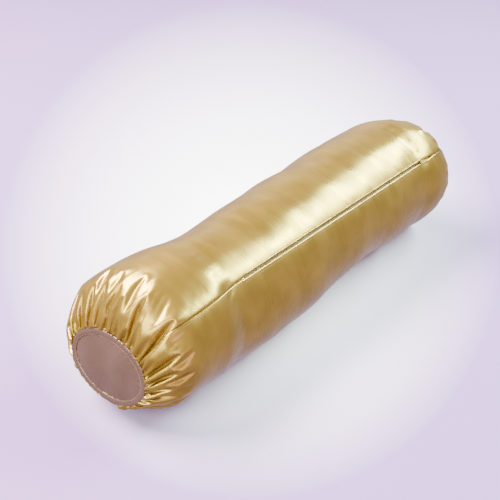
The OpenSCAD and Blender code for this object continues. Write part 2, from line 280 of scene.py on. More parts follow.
def slump(x, angle):
    """How far the stuffed tube falls inside a true cylinder. Its upper far side has a waist
    behind the front gathers, swells a little past the middle and drops at the rear. Its lower
    near side draws in towards both ends, most at one place behind the middle, and swells a
    little in front of it. Each side's share is a power of the cosine of the angle from the
    line where it is deepest."""
    waist = 10.5 * MM * bell(x, -130 * MM, 100 * MM)
    swelling = 4.5 * MM * smooth(60 * MM, 200 * MM, x) * (1 - smooth(240 * MM, 290 * MM, x))
    rear_drop = 15 * MM * smooth(250 * MM, 320 * MM, x)
    front_tuck = 9 * MM * (1 - smooth(-230 * MM, -160 * MM, x))
    rear_tuck = 8 * MM * smooth(-50 * MM, 70 * MM, x) + 3 * MM * smooth(200 * MM, 260 * MM, x)
    dent, bulge = 5.5 * MM * bell(x, 120 * MM, 50 * MM), 2.5 * MM * bell(x, -100 * MM, 50 * MM)
    far = np.clip(np.cos(angle - FAR_SIDE), 0, 1) ** 2
    near = np.clip(np.cos(angle - NEAR_SIDE), 0, 1) ** 2.5
    return far * (waist - swelling + rear_drop) + near * (front_tuck + rear_tuck + dent - bulge)


def body_radius(x, angle):
    """The stuffed tube's radius less its slump, with soft lumps where the filling is uneven,
    which fade out near the zip."""
    lumps = LUMP_HEIGHT * ripple(x, angle, 7, 160 * MM, 3, 11)
    away = smooth(12 * MM, 45 * MM, seam_distance(angle))
    return BODY_R + away * (lumps - COVER_SUNK) - slump(x, angle)


def around(x, angle, radius):
    """Points on a circle round the bolster's axis."""
    x, angle, radius = np.broadcast_arrays(x, angle, radius)
    return np.stack([x, -radius * np.sin(angle), AXIS_Z + radius * np.cos(angle)], -1)


def front_hem(angle, grow=0.0):
    """A point of the front hem's outer edge: a sagging oval whose top leans into the end."""
    height = (FRONT_HEM_Z + grow) * np.cos(angle)
    return np.stack([FRONT_X + HEM_X + FRONT_HEM_LEAN * height,
                     -(FRONT_HEM_Y + grow) * np.sin(angle), AXIS_Z - FRONT_HEM_DROP + height], -1)


def rear_hem(angle, grow=0.0):
    """A point of the rear hem's outer edge, a plain circle."""
    return around(REAR_X - REAR_HEM_X, angle, REAR_HEM_R + grow)


def gathered_end(hem, join, reach, rows, side, seed):
    """One end of the cover as a grid of points from the hem to the tube. The cloth starts as a
    straight, slightly bumpy tube; its last ring is drawn in to the hem, zigzagged as the
    elastic shirrs it, while pressure fills it and the excess cloth buckles into folds. side is
    -1 at the front and 1 at the rear."""
    angle = COLUMN_ANGLES
    along = np.linspace(reach, 0, rows)[:, None]
    tube = around(join + side * along, angle, BODY_R)
    bumps = CLOTH_BUMPS * ripple(along, angle, 30, 0.4, 28, seed)
    bumps[0], bumps[-PINNED_ROWS:] = 0, 0
    tube[..., 1] -= np.sin(angle) * bumps
    tube[..., 2] += np.cos(angle) * bumps
    drawn = tube.copy()
    drift = RIB_DRIFT * ripple(0, angle[0], 6, 1, 7, seed + 1)
    zigzag = RIB_DEPTH * np.sin(HEM_RIBS * angle[0] + drift)
    drawn[0] = hem(angle[0], RIB_OUT * zigzag)
    drawn[0, :, 0] += RIB_ALONG * side * zigzag

    cloth = grid_piece("gathering", tube * SIM_SCALE, wrap=True, flip=side > 0)
    cloth.shape_key_add(name="tube")
    key = cloth.shape_key_add(name="drawn")
    key.data.foreach_set("co", (drawn * SIM_SCALE).reshape(-1).astype(np.float32))
    for frame_number, value in ((1, 0.0), (SIM_DRAWN, 1.0)):
        key.value = value
        key.keyframe_insert("value", frame=frame_number)
    held = cloth.vertex_groups.new(name="held")
    count = rows * COLUMNS
    held.add(list(range(COLUMNS)), 1.0, "REPLACE")
    held.add(list(range(count - PINNED_ROWS * COLUMNS, count)), 1.0, "REPLACE")
    modifier = cloth.modifiers.new("cloth", "CLOTH")
    for field, value in CLOTH_SETTINGS.items():
        setattr(modifier.settings, field, value)
    modifier.settings.vertex_group_mass = "held"
    modifier.settings.effector_weights.gravity = 0
    modifier.collision_settings.use_collision = False
    modifier.point_cache.frame_end = SIM_FRAMES
    for number in range(1, SIM_FRAMES + 1):
        bpy.context.scene.frame_set(number)
    result = cloth.evaluated_get(bpy.context.evaluated_depsgraph_get()).data
    points = np.zeros(count * 3, np.float32)
    result.vertices.foreach_get("co", points)
    bpy.context.scene.frame_set(1)
    bpy.data.objects.remove(cloth)
    return points.reshape(rows, COLUMNS, 3).astype(float) / SIM_SCALE


def grid_piece(name, points, cloth=None, wrap=False, flip=False):
    """A mesh from a grid of points, wrapped round its columns if asked; cloth is its UV map in
    metres, one row and column per point."""
    rows, columns = points.shape[:2]
    wide = columns if wrap else columns - 1
    i, j = np.meshgrid(np.arange(rows - 1), np.arange(wide), indexing="ij")
    corners = [(i, j), (i, j + 1), (i + 1, j + 1), (i + 1, j)]
    if flip:
        corners = corners[::-1]
    faces = np.stack([(a * columns + b % columns).ravel() for a, b in corners], -1)
    mesh = bpy.data.meshes.new(name)
    mesh.vertices.add(rows * columns)
    mesh.vertices.foreach_set("co", points.reshape(-1).astype(np.float32))
    mesh.loops.add(faces.size)
    mesh.loops.foreach_set("vertex_index", faces.reshape(-1).astype(np.int32))
    mesh.polygons.add(len(faces))
    mesh.polygons.foreach_set("loop_start", np.arange(0, faces.size, 4, dtype=np.int32))
    mesh.update(calc_edges=True)
    if cloth is not None:
        if wrap:
            step = cloth[:, 1:2] - cloth[:, :1]
            cloth = np.concatenate([cloth, cloth[:, -1:] + step], 1)
        corner_uv = np.stack([cloth[a.ravel(), b.ravel()] for a, b in corners], 1)
        layer = mesh.uv_layers.new(name="cloth")
        layer.data.foreach_set("uv", corner_uv.reshape(-1).astype(np.float32))
    mesh.shade_smooth()
    mesh.validate()
    piece = bpy.data.objects.new(name, mesh)
    bpy.context.scene.collection.objects.link(piece)
    return piece


def seam_opening(x):
    """1 along the zip and 0 where the seam is sewn shut."""
    return smooth(ZIP_X0 - SLOT_TAPER, ZIP_X0, x) * (1 - smooth(ZIP_X1, ZIP_X1 + SLOT_TAPER, x))


def cover_rows():
    """The whole cover as a grid from hem to hem, each row running from the seam's lower edge
    round to its upper edge, and the same grid's places on the flat cloth. Both ends fade into
    the plain tube, the slump is taken off its radius, the rows are parted at the zip, their
    edges are turned in, and the underside is flattened on the floor by a smooth maximum."""
    make_end = gathered_end
    front = make_end(front_hem, FRONT_JOIN, FRONT_REACH, FRONT_ROWS, -1, 3)
    rear = make_end(rear_hem, REAR_JOIN, REAR_REACH, REAR_ROWS, 1, 8)[::-1]
    ring = COLUMN_ANGLES
    x = np.linspace(FRONT_JOIN, REAR_JOIN, MIDDLE_ROWS + 2)[1:-1, None]
    middle = around(x, ring, body_radius(x, ring))
    points = np.concatenate([front, middle, rear])
    down_cloth = np.concatenate([np.linspace(FRONT_JOIN - FRONT_REACH, FRONT_JOIN, FRONT_ROWS),
                                 x[:, 0], np.linspace(REAR_JOIN, REAR_JOIN + REAR_REACH, REAR_ROWS)])

    x = points[..., 0]
    radius = np.hypot(points[..., 1], points[..., 2] - AXIS_Z)
    plain = smooth(FRONT_JOIN - BLEND_ZONE, FRONT_JOIN, x)
    plain *= 1 - smooth(REAR_JOIN, REAR_JOIN + BLEND_ZONE, x)
    number = np.arange(len(points))[:, None]
    free = smooth(0, HELD_ROWS, np.minimum(number, len(points) - 1 - number))
    wanted = (radius - free * slump(x, ring)) * (1 - plain) + body_radius(x, ring) * plain
    fine = RIPPLE_HEIGHT * ripple(x, ring, 12, 60 * MM, 9, 21)
    wanted += fine * smooth(10 * MM, 30 * MM, seam_distance(ring))
    points[..., 1:] = ([0, AXIS_Z] + (points[..., 1:] - [0, AXIS_Z]) * (wanted / radius)[..., None])

    opening = seam_opening(points[:, 0, 0])
    half = (CLOSED_HALF + (SLOT_HALF - CLOSED_HALF) * opening)[:, None] / BODY_R
    turn = half + np.linspace(0, 1, COLUMNS + 1) * (2 * np.pi - 2 * half)
    place = turn * COLUMNS / (2 * np.pi)
    low = np.floor(place).astype(int)
    share = (place - low)[..., None]
    row = np.arange(len(points))[:, None]
    points = points[row, low % COLUMNS] * (1 - share) + points[row, (low + 1) % COLUMNS] * share
    angle = SEAM + turn

    points, angle = (np.concatenate([np.repeat(grid[:, :1], EDGE_COPIES, 1), grid,
                                     np.repeat(grid[:, -1:], EDGE_COPIES, 1)], 1)
                     for grid in (points, angle))
    flat = np.zeros(points.shape[1] - 2 * len(EDGE_TURN))
    sunk = np.concatenate([LOWER_TURN, flat, EDGE_TURN[::-1]])
    points[..., 1] += np.sin(angle) * sunk
    points[..., 2] -= np.cos(angle) * sunk
    points[..., 2] = 0.5 * (points[..., 2] + np.sqrt(points[..., 2] ** 2 + FLOOR_SOFT ** 2))
    cloth = np.stack([np.broadcast_to(down_cloth[:, None], angle.shape), angle * BODY_R], -1)
    return points, cloth


def satin(name, body_colour, deep_colour, streak=1.0):
    """Polyester satin. Its long weft floats lie side by side round the bolster and mirror the
    light almost as a metal does, so highlights are broad and pale and the shade stays golden.
    The floats are 0.15 mm wide and are drawn as streaks of 2 mm, so that they show; slubs make
    wider, fainter ones, and the dye is slightly cloudy."""
    float_wide, float_long = 2 * MM, 83.3 * MM
    slub_wide, slub_long = 14.3 * MM, 143 * MM
    cloud = 38.5 * MM
    m = new_material(name)
    cloth = add_node(m, "UVMap", {"uv_map": "cloth"}).outputs[0]
    fine = add_node(m, "Mapping", in0=cloth, Scale=(1 / float_wide, 1 / float_long, 1))
    floats = add_node(m, "TexNoise", {"noise_dimensions": "2D"}, Vector=fine.outputs[0],
                      Scale=1.0, Detail=3.0, Roughness=0.6)
    broad = add_node(m, "Mapping", in0=cloth, Scale=(1 / slub_wide, 1 / slub_long, 1))
    slubs = add_node(m, "TexNoise", {"noise_dimensions": "2D"}, Vector=broad.outputs[0],
                     Scale=1.0, Detail=1.0, Roughness=0.4)
    cloudy = add_node(m, "TexNoise", {"noise_dimensions": "2D"}, Vector=cloth,
                      Scale=1 / cloud, Detail=2.0, Roughness=0.5)
    tint = add_node(m, "ValToRGB", {"stops": ((0.3, deep_colour), (0.7, body_colour))},
                    Fac=cloudy.outputs[0])
    rough = add_node(m, "MapRange", Value=slubs.outputs[0], From_Min=0.3, From_Max=0.7,
                     To_Min=0.23, To_Max=0.31)
    low = add_node(m, "Bump", Height=slubs.outputs[0], Strength=0.16 * streak, Distance=0.9 * MM)
    weave = add_node(m, "Bump", Height=floats.outputs[0], Strength=0.13 * streak,
                     Distance=0.1 * MM, Normal=low.outputs[0])
    tangent = add_node(m, "Tangent", {"direction_type": "UV_MAP", "uv_map": "cloth"})
    shader = add_node(m, "BsdfPrincipled", Base_Color=tint.outputs[0], Metallic=0.75,
                      Roughness=rough.outputs[0], Anisotropic=0.45, Normal=weave.outputs[0],
                      Tangent=tangent.outputs[0])
    add_node(m, "OutputMaterial", Surface=shader.outputs[0])
    return m


def finish_piece(piece, material, body, node, thick=0.0):
    """Closes a finished mesh where its edges meet, gives it its material, thickness inwards and
    body, and hides its CAD part."""
    mesh = bmesh.new()
    mesh.from_mesh(piece.data)
    bmesh.ops.remove_doubles(mesh, verts=mesh.verts, dist=1e-6)
    mesh.to_mesh(piece.data)
    mesh.free()
    piece.data.materials.append(material)
    if thick:
        skin = piece.modifiers.new("thickness", "SOLIDIFY")
        skin.thickness = thick
        skin.offset = -1
    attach(piece, body)
    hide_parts(node)


cover_satin = satin("gold_satin", "#957A2B", "#876E22")
cover_points, cover_cloth = cover_rows()
cover = grid_piece("satin_cover", cover_points, cover_cloth)
finish_piece(cover, cover_satin, "bolster", "cover_tube", COVER_THICK)


# ---- End panels ---------------------------------------------------------------------------
# A disc of smoother satin closes each end. Its colour is a darker, browner copy of the gold
# satin: painted shade, for the ends face away from the light. The stuffing presses it into a
# shallow dome, and the hem's elastic leaves faint radial draws at its edge.
PANEL_RINGS = 40
PANEL_COLUMNS = 200
PANEL_INSET = 5 * MM
PANEL_DOME = 4 * MM
PANEL_DEPTH = 0.3 * MM              # how far its edge lies inside the hem's plane
PANEL_DRAWS = 0.3 * MM
PANEL_THICK = 0.8 * MM


def disc_points(edge, dome, depth, side, seed):
    """A disc inside an edge: its rings shrink to the middle, domed by one minus radius squared,
    with fine radial draws that fade from the edge in. side is -1 at the front, 1 at the rear."""
    share = np.linspace(0, 1, PANEL_RINGS)[:, None]
    angle = np.linspace(0, 2 * np.pi, PANEL_COLUMNS, endpoint=False)[None, :]
    rim = edge(angle)
    points = rim.mean(axis=1, keepdims=True) * (1 - share[..., None]) + rim * share[..., None]
    draws = PANEL_DRAWS * ripple(share * 0, angle, 6, 1.0, 34, seed) * share ** 6
    points[..., 0] += side * (dome * (1 - share ** 2) + draws - depth)
    return points, points[..., 1:]


# the gold satin again, its colour darkened and browned as painted shade on the ends and hems
end_satin_painted_shade = satin("end_panel_satin_painted_shade", "#7B6252", "#715A48", 0.4)
for end, hem, side in (("front", front_hem, -1), ("rear", rear_hem, 1)):
    points, cloth = disc_points(lambda a, h=hem: h(a, -PANEL_INSET), PANEL_DOME, PANEL_DEPTH,
                                side, 41)
    panel = grid_piece(end + "_satin_panel", points, cloth, wrap=True, flip=side > 0)
    finish_piece(panel, end_satin_painted_shade, "bolster", end + "_end_panel", PANEL_THICK)


# ---- Hem casings --------------------------------------------------------------------------
# The cover's edge, turned over the elastic and sewn down. The elastic shirrs this double
# satin into a narrow band of fine ribs that stands a little proud of the gathers.
HEM_WIDTH = 8 * MM
HEM_SWELL = 0.7 * MM                # the band stands out past the gathers' edge by this much
HEM_THICK = 1.3 * MM
HEM_RIB_HEIGHT = 0.9 * MM
HEM_RIB_COUNTS = {"front": 74, "rear": 92}
HEM_SECTION = 20
RIB_STEPS = 8
CLOTH_AROUND = 0.6 * BODY_R         # length of the hem's cloth for each radian round it


def hem_band(hem, side, width, rib_height, thickness, ribs, seed):
    """A flat band swept round the hem: its section is an oval, and its ribs are a rounded
    wave round the hem, the root of a sine, uneven in height. side is -1 at the front and 1 at
    the rear."""
    angle = np.linspace(0, 2 * np.pi, ribs * RIB_STEPS, endpoint=False)
    turn = np.linspace(0, 2 * np.pi, HEM_SECTION, endpoint=False)
    t, a = np.meshgrid(turn, angle, indexing="ij")
    phase = ribs * a + 0.9 * ripple(0 * a, a, 5, 1.0, 9, seed)
    uneven = 0.75 + 0.25 * ripple(0 * a, a, 5, 1.0, 15, seed + 1)
    height = np.sqrt(np.abs(np.sin(phase / 2))) * uneven
    middle = hem(a, -width / 2 + HEM_SWELL)
    outer = hem(a, 0.0) - middle
    outer /= np.linalg.norm(outer, axis=-1, keepdims=True)
    points = middle + outer * (np.cos(t) * width / 2)[..., None]
    points[..., 0] += side * np.sin(t) * (thickness / 2 + rib_height * height)
    cloth = np.stack([t * width / 4, a * CLOTH_AROUND], -1)
    points = np.concatenate([points, points[:1]])
    cloth = np.concatenate([cloth, cloth[:1] + [np.pi * width / 2, 0]])
    return points, cloth


for end, hem, side in (("front", front_hem, -1), ("rear", rear_hem, 1)):
    points, cloth = hem_band(hem, side, HEM_WIDTH, HEM_RIB_HEIGHT, HEM_THICK,
                             HEM_RIB_COUNTS[end], 51)
    band = grid_piece(end + "_hem_band", points, cloth, wrap=True, flip=side < 0)
    # the hem band takes the same satin, darkened as painted shade
    finish_piece(band, end_satin_painted_shade, "bolster", end + "_hem_casing")


# ---- Hem elastic --------------------------------------------------------------------------
# Flat braided elastic, polyester round a rubber core, 5 mm wide. It is joined into a ring and
# lies stretched inside each hem casing.
ELASTIC_WIDTH = 5 * MM
ELASTIC_THICK = 0.9 * MM
ELASTIC_WAVES = 60                  # it has no ribs, and this only sets its steps round


def woven(name, colour, shade, warp_pitch, weft_pitch, rough=0.8):
    """A matt plain weave or braid: the product of two crossed sines at the threads' pitch gives
    small raised squares, over a soft change of shade. The threads are drawn a few times
    coarser than real ones, so that they show."""
    m = new_material(name)
    cloth = add_node(m, "UVMap", {"uv_map": "cloth"}).outputs[0]
    scaled = add_node(m, "Mapping", in0=cloth,
                      Scale=(2 * math.pi / warp_pitch, 2 * math.pi / weft_pitch, 1))
    split = add_node(m, "SeparateXYZ", in0=scaled.outputs[0])
    warp = add_node(m, "Math", {"operation": "SINE"}, in0=split.outputs[0])
    weft = add_node(m, "Math", {"operation": "SINE"}, in0=split.outputs[1])
    both = add_node(m, "Math", {"operation": "MULTIPLY"}, in0=warp.outputs[0],
                    in1=weft.outputs[0])
    cloudy = add_node(m, "TexNoise", {"noise_dimensions": "2D"}, Vector=cloth,
                      Scale=1 / (16.7 * MM), Detail=3.0)
    tint = add_node(m, "ValToRGB", {"stops": ((0.35, shade), (0.65, colour))},
                    Fac=cloudy.outputs[0])
    raised = add_node(m, "Bump", Height=both.outputs[0], Strength=0.5, Distance=0.2 * MM)
    shader = add_node(m, "BsdfPrincipled", Base_Color=tint.outputs[0], Roughness=rough,
                      Normal=raised.outputs[0])
    add_node(m, "OutputMaterial", Surface=shader.outputs[0])
    return m


braid = woven("elastic_braid", "#EFE6D6", "#DDD0BC", 1.26 * MM, 2.51 * MM)
for end, hem, side in (("front", front_hem, -1), ("rear", rear_hem, 1)):
    inset = (HEM_WIDTH - ELASTIC_WIDTH) / 2
    points, cloth = hem_band(lambda a, g, h=hem: h(a, g - inset), side, ELASTIC_WIDTH, 0.0,
                             ELASTIC_THICK, ELASTIC_WAVES, 61)
    elastic = grid_piece(end + "_elastic_band", points, cloth, wrap=True, flip=side < 0)
    finish_piece(elastic, braid, "bolster", end + "_elastic")


# ---- Hem stitches -------------------------------------------------------------------------
# One row of lockstitch in gold polyester thread, 3 mm a stitch, holds the turned edge of each
# hem down along its inner side.
STITCH_PITCH = 3 * MM
STITCH_LENGTH = 2.2 * MM
THREAD_D = 0.42 * MM
STRAND_LENGTHS, STRAND_SIDES = 6, 6
STITCH_INSET = 1.2 * MM             # from the band's inner edge
STITCH_LIFT = 0.8 * MM              # from the hem's middle plane out to the band's face


def stitch_row(name, centres, ways, outs):
    """A row of stitches as one mesh: each is a spindle, its girth a power of a sine, that lies
    along its way and dips into the cloth at both ends. centres, ways and outs are arrays of
    points and unit vectors."""
    u = np.linspace(0, np.pi, STRAND_LENGTHS + 1)
    v = np.linspace(0, 2 * np.pi, STRAND_SIDES, endpoint=False)
    along = -np.cos(u)[:, None] * STITCH_LENGTH / 2 + 0 * v
    girth = np.sin(u)[:, None] ** 0.6 * THREAD_D / 2
    lift = np.sin(u)[:, None] * THREAD_D * 0.35
    sideways = girth * np.cos(v)
    upward = girth * np.sin(v) + lift - THREAD_D * 0.25
    across = np.cross(ways, outs)
    local = np.stack([along, sideways, upward], -1).reshape(-1, 3)
    basis = np.stack([ways, across, outs], 1)
    points = centres[:, None, :] + np.einsum("kc,ncd->nkd", local, basis)
    i, j = np.meshgrid(np.arange(STRAND_LENGTHS), np.arange(STRAND_SIDES), indexing="ij")
    ring, following, beside = i * STRAND_SIDES, (i + 1) * STRAND_SIDES, (j + 1) % STRAND_SIDES
    quad = np.stack([following + j, following + beside, ring + beside, ring + j], -1)
    starts = np.arange(len(centres)) * len(local)
    faces = quad.reshape(-1, 4)[None] + starts[:, None, None]
    mesh = bpy.data.meshes.new(name)
    mesh.from_pydata(points.reshape(-1, 3), [], faces.reshape(-1, 4).tolist())
    mesh.shade_smooth()
    piece = bpy.data.objects.new(name, mesh)
    bpy.context.scene.collection.objects.link(piece)
    return piece


def thread_material():
    """Spun polyester sewing thread: nearly matt; its twist, 0.75 mm long, shows as light and dark
    bands of painted highlight and shade.
    A wave texture turns 20 radians over one unit of its scale."""
    m = new_material("gold_thread")
    place = add_node(m, "TexCoord").outputs["Object"]
    twist = add_node(m, "TexWave", Vector=place, Scale=2 * math.pi / 20 / (0.748 * MM),
                     Distortion=2.0)
    # painted highlight and shade along the thread's twist
    tint = add_node(m, "ValToRGB", {"stops": ((0.2, "#7E6638"), (0.8, "#92784A"))},
                    Fac=twist.outputs["Fac"])
    shader = add_node(m, "BsdfPrincipled", Base_Color=tint.outputs[0], Roughness=0.6,
                      Specular_IOR_Level=0.3)
    add_node(m, "OutputMaterial", Surface=shader.outputs[0])
    return m


thread = thread_material()
for end, hem, side in (("front", front_hem, -1), ("rear", rear_hem, 1)):
    girth = 2 * np.pi * (REAR_HEM_R if side > 0 else (FRONT_HEM_Y + FRONT_HEM_Z) / 2)
    count = int(girth / STITCH_PITCH)
    angle = np.arange(count) * 2 * np.pi / count
    centres = hem(angle, -HEM_WIDTH + STITCH_INSET)
    ways = hem(angle + 0.01, -HEM_WIDTH) - hem(angle - 0.01, -HEM_WIDTH)
    ways /= np.linalg.norm(ways, axis=-1, keepdims=True)
    outs = np.tile([float(side), 0, 0], (len(angle), 1))
    outs -= ways * (outs * ways).sum(-1, keepdims=True)
    outs /= np.linalg.norm(outs, axis=-1, keepdims=True)
    centres[:, 0] += side * STITCH_LIFT
    row = stitch_row(end + "_hem_stitches", centres, ways, outs)
    finish_piece(row, thread, "bolster", end + "_hem_stitching")


# ---- Seam lip -----------------------------------------------------------------------------
# A fold of satin with a soft filler stands along the zip's upper side and shades it from above.
# It is full at the rear and flattens out towards the front end of the zip.
LIP_WIDTH = 3.6 * MM
LIP_HEIGHT = 2.4 * MM
LIP_FRONT = 0.25                    # its fullness at the front end
LIP_FILLS = (20 * MM, 260 * MM)     # where it starts to fill and where it is full, from that end
LIP_START = 12 * MM                 # each end of it tapers over this length
LIP_REAR_THINS = 0.6
LIP_INSET = 2.3 * MM                # clear of the pull
LIP_FOOT = 0.4 * MM                 # how deep it sits in the cover
LIP_STEP = 1.6 * MM


def seam_point(x, upward, height):
    """A point by its place along the bolster, its distance to the seam's upper side and its
    height from the axis along the seam's own radius."""
    x, upward, height = np.broadcast_arrays(x, upward, height)
    return np.stack([x, upward * math.cos(SEAM) - height * math.sin(SEAM),
                     AXIS_Z + upward * math.sin(SEAM) + height * math.cos(SEAM)], -1)


def seam_strip(name, x, upward, height, flip=False):
    """A closed strip along the seam. upward and height give the section's outline at each x;
    both ends close on the section's middle."""
    points = seam_point(x, upward, height)
    first, last = points[:1].mean(1, keepdims=True), points[-1:].mean(1, keepdims=True)
    points = np.concatenate([np.broadcast_to(first, points[:1].shape), points,
                             np.broadcast_to(last, points[:1].shape)])
    steps = np.linalg.norm(np.diff(points, axis=1), axis=-1)
    across = np.concatenate([np.zeros((len(points), 1)), np.cumsum(steps, 1)], 1)
    return grid_piece(name, points, np.stack([points[..., 0], across], -1), wrap=True, flip=flip)


x = np.arange(ZIP_X0, ZIP_X1, LIP_STEP)[:, None]
turn = np.linspace(0, 2 * np.pi, 25)[None, :-1]
swell = LIP_FRONT + (1 - LIP_FRONT) * smooth(ZIP_X0 + LIP_FILLS[0], ZIP_X0 + LIP_FILLS[1], x)
swell = swell * smooth(ZIP_X0 - 1 * MM, ZIP_X0 + LIP_START, x)
swell = swell * (1 - LIP_REAR_THINS * smooth(ZIP_X1 - LIP_START, ZIP_X1, x))
puckers = 0.10 * ripple(x, 0 * x, 6, 20 * MM, 0, 71) + 0.06 * ripple(x, 0 * x, 5, 6 * MM, 0, 72)
swell = swell * (1 + puckers)
wide = LIP_WIDTH * (0.55 + 0.45 * swell)
upward = LIP_INSET + wide / 2 * (1 - np.cos(turn))
foot = np.sqrt(BODY_R ** 2 - upward ** 2) - LIP_FOOT
crown = LIP_HEIGHT * swell * np.abs(np.sin(turn)) ** 0.8
height = foot + np.where(np.sin(turn) > 0, crown, LIP_FOOT * np.sin(turn))
lip = seam_strip("seam_lip_welt", x, upward, height, flip=True)
finish_piece(lip, cover_satin, "bolster", "seam_lip")


# ---- Zip facings --------------------------------------------------------------------------
# The cover's seam allowance: a doubled strip of the satin, turned in on each side of the zip
# and sewn down on the tape.
FACING_IN, FACING_OUT = 5.2 * MM, 13.6 * MM
FACING_TOP = 92.9 * MM              # heights are along the seam's radius, from the axis
FACING_WAVE = 0.15 * MM
TAPE_Z = 91.0 * MM
TAPE_THICK = 0.6 * MM
TAPE_STEP = 4 * MM


def flat_section(inner, outer, low, high):
    """The outline of a flat strip between two distances and two heights, as arrays of distance
    and height: a superellipse, whose sines and cosines are raised to a small power."""
    turn = np.linspace(0, 2 * np.pi, 20, endpoint=False)
    wide, tall = (np.sign(v) * np.abs(v) ** 0.35 for v in (np.cos(turn), np.sin(turn)))
    return ((inner + outer) / 2 + (outer - inner) / 2 * wide,
            (low + high) / 2 + (high - low) / 2 * tall)


facing_satin = satin("facing_satin", "#BE9450", "#AD8443", 0.5)
tape_x = np.arange(ZIP_X0, ZIP_X1 + 1 * MM, TAPE_STEP)[:, None]
for side, name in ((1, "upper"), (-1, "lower")):
    across, up = flat_section(FACING_IN, FACING_OUT, TAPE_Z + TAPE_THICK / 2, FACING_TOP)
    wave = FACING_WAVE * ripple(tape_x, 0 * tape_x, 5, 30 * MM, 0, 80 + side)
    strip = seam_strip(name + "_facing_strip", tape_x, side * across[None] + 0 * tape_x,
                       up[None] + wave, flip=side < 0)
    finish_piece(strip, facing_satin, "bolster", name + "_zip_facing")


# ---- Zip tapes ----------------------------------------------------------------------------
# Woven polyester tape, 11 mm wide, one on each side of the zip, dyed to match the satin. Each
# carries its coil on its inner edge.
TAPE_IN, TAPE_OUT = 2.6 * MM, 13.6 * MM

tape_weave = woven("zip_tape_weave", "#C39B5B", "#B48B4B", 1.21 * MM, 0.81 * MM, 0.75)
for side, name in ((1, "upper"), (-1, "lower")):
    across, up = flat_section(TAPE_IN, TAPE_OUT, TAPE_Z - TAPE_THICK / 2, TAPE_Z + TAPE_THICK / 2)
    strip = seam_strip(name + "_tape_strip", tape_x, side * across[None] + 0 * tape_x,
                       up[None] + 0 * tape_x, flip=side < 0)
    finish_piece(strip, tape_weave, "bolster", name + "_zip_tape")


# ---- Zip coils ----------------------------------------------------------------------------
# Each row of teeth is one nylon monofilament wound into a flattened coil, 1.5 mm a turn, sewn
# along its tape's edge. The rows are half a turn out of step.
COIL_PITCH = 1.5 * MM
COIL_IN, COIL_OUT = 0.6 * MM, 2.6 * MM
COIL_TOP, COIL_LOW = 91.9 * MM, 90.1 * MM
FILAMENT_D = 0.62 * MM
COIL_STEPS, FILAMENT_SIDES = 14, 6


def nylon():
    """Extruded and dyed nylon filament: a smooth soft gloss under a thin clear skin, with faint
    1 mm flow marks."""
    m = new_material("coil_nylon")
    place = add_node(m, "TexCoord").outputs["Object"]
    flow = add_node(m, "TexNoise", Vector=place, Scale=1 / (1.11 * MM), Detail=2.0)
    tint = add_node(m, "ValToRGB", {"stops": ((0.3, "#B08A4C"), (0.7, "#C7A468"))},
                    Fac=flow.outputs[0])
    shader = add_node(m, "BsdfPrincipled", Base_Color=tint.outputs[0], Roughness=0.35,
                      Coat_Weight=0.2)
    add_node(m, "OutputMaterial", Surface=shader.outputs[0])
    return m


coil_nylon = nylon()
coil_x0, coil_x1 = (corner.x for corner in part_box("upper_zip_coil"))
turns = (coil_x1 - coil_x0 - COIL_PITCH) / COIL_PITCH
for side, name in ((1, "upper"), (-1, "lower")):
    phase = np.linspace(0, turns * 2 * np.pi, int(turns * COIL_STEPS)) + (0 if side > 0 else np.pi)
    along = np.linspace(coil_x0 + COIL_PITCH / 2, coil_x1 - COIL_PITCH / 2, len(phase))
    across = (COIL_IN + COIL_OUT) / 2 - np.cos(phase) * (COIL_OUT - COIL_IN - FILAMENT_D) / 2
    up = (COIL_TOP + COIL_LOW) / 2 + np.sin(phase) * (COIL_TOP - COIL_LOW - FILAMENT_D) / 2
    line = seam_point(along, side * across, up)
    way = np.gradient(line, axis=0)
    way /= np.linalg.norm(way, axis=-1, keepdims=True)
    a_side = np.cross(way, [1.0, 0, 0])
    a_side /= np.linalg.norm(a_side, axis=-1, keepdims=True)
    b_side = np.cross(way, a_side)
    turn = np.linspace(0, 2 * np.pi, FILAMENT_SIDES, endpoint=False)[None, :, None]
    girth = np.full((len(line), 1, 1), FILAMENT_D / 2)
    girth[0], girth[-1] = 0, 0
    points = line[:, None] + girth * (np.cos(turn) * a_side[:, None] + np.sin(turn) * b_side[:, None])
    coil = grid_piece(name + "_coil_filament", points, wrap=True)
    finish_piece(coil, coil_nylon, "bolster", name + "_zip_coil")


# ---- Zip metal ----------------------------------------------------------------------------
# Die-cast slider, pressed pull and pin, and clamped stops, all plated gold and slightly worn.
# Tumbling before plating has rounded their edges.
TUMBLED_EDGE = 0.12 * MM
SHARP = math.radians(35)            # edges that turn by more than this are rounded


def plated():
    """Gold plating on zinc: a bright metal, clean in places and, in patches of 3 mm, cloudier
    and rougher where it has been handled."""
    m = new_material("gold_plating")
    place = add_node(m, "TexCoord").outputs["Object"]
    wear = add_node(m, "TexNoise", Vector=place, Scale=1 / (3.33 * MM), Detail=4.0)
    tint = add_node(m, "ValToRGB", {"stops": ((0.35, "#B8904A"), (0.65, "#D8B46A"))},
                    Fac=wear.outputs[0])
    rough = add_node(m, "MapRange", Value=wear.outputs[0], From_Min=0.3, From_Max=0.7,
                     To_Min=0.22, To_Max=0.38)
    scuffs = add_node(m, "Bump", Height=wear.outputs[0], Strength=0.15, Distance=0.2 * MM)
    shader = add_node(m, "BsdfPrincipled", Base_Color=tint.outputs[0], Metallic=1.0,
                      Roughness=rough.outputs[0], Normal=scuffs.outputs[0])
    add_node(m, "OutputMaterial", Surface=shader.outputs[0])
    return m


gold_plating = plated()
for name in ("zip_slider", "zip_pull", "zip_pull_pin", "zip_top_stops", "zip_bottom_stop"):
    part = frame["nodes"][name]
    part.data.materials.clear()
    part.data.materials.append(gold_plating)
    part.data.shade_smooth()
    edges = part.modifiers.new("edges", "BEVEL")
    edges.width = TUMBLED_EDGE
    edges.segments = 2
    edges.limit_method = "ANGLE"
    edges.angle_limit = SHARP
    edges.harden_normals = True


